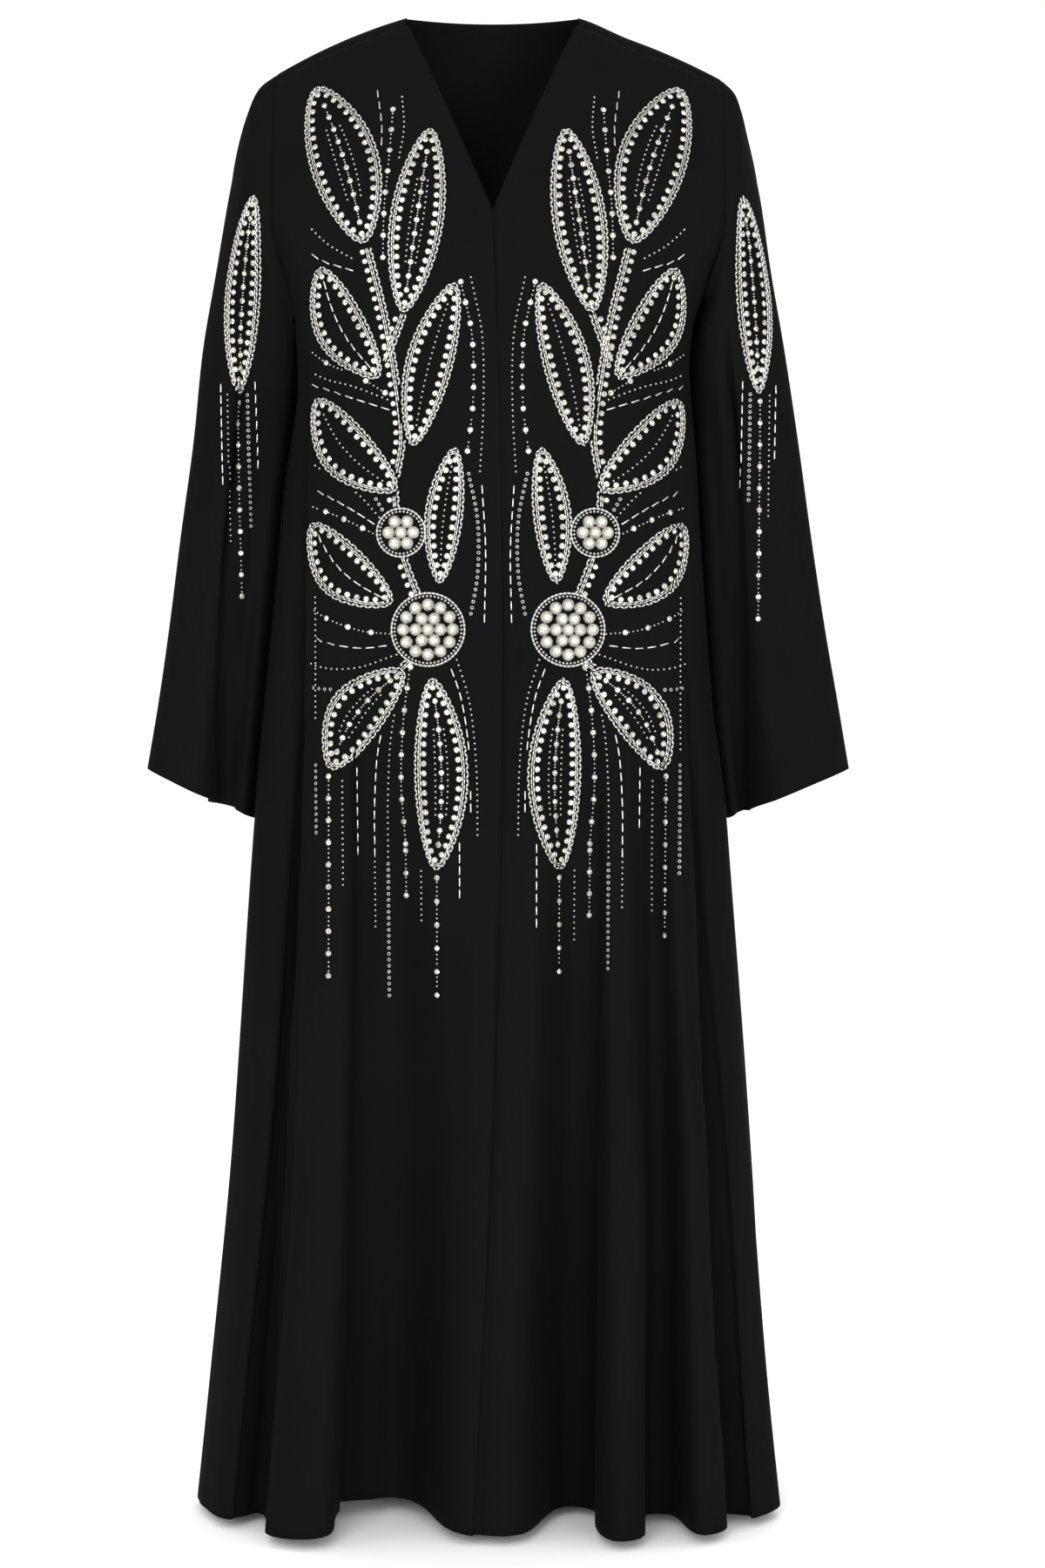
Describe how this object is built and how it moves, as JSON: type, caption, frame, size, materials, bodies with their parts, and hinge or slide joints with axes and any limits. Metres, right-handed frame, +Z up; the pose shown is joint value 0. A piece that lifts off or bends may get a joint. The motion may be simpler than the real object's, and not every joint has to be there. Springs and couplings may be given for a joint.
{
  "type": "open-front abaya",
  "caption": "Long open-front abaya in black crepe with a V neck, wide set-in sleeves, a folding A-line skirt and silver beaded leaf sprays, shown filled out on nobody.",
  "frame": {"origin": "midway between the shoulder tips at the height of the neck points, where the wearer's shoulders carry the cloth", "axes": "+Z up, the front of the garment faces -Y, +X towards the wearer's left sleeve"},
  "size_m": [0.654, 0.3406, 1.3772],
  "materials": {
    "crepe": "matt crepe with a soft sheen",
    "beads": "silver-lined beads and cut stones, polished"
  },
  "bodies": {
    "root": {"front_lapping": "crepe", "front_under": "crepe", "back": "crepe", "sleeve_left": "crepe", "sleeve_right": "crepe", "beads_shoulder_left": "beads", "beads_neck_left": "beads", "beads_chest_left": "beads", "beads_heart_left": "beads", "beads_side_left": "beads", "beads_front_left": "beads", "beads_waist_left": "beads", "beads_hip_left": "beads", "beads_drop_left": "beads", "beads_sleeve_left": "beads", "beads_shoulder_right": "beads", "beads_neck_right": "beads", "beads_chest_right": "beads", "beads_heart_right": "beads", "beads_side_right": "beads", "beads_front_right": "beads", "beads_waist_right": "beads", "beads_hip_right": "beads", "beads_drop_right": "beads", "beads_sleeve_right": "beads", "stones_upper_left": "beads", "stones_lower_left": "beads", "stones_upper_right": "beads", "stones_lower_right": "beads"}
  },
  "joints": []
}
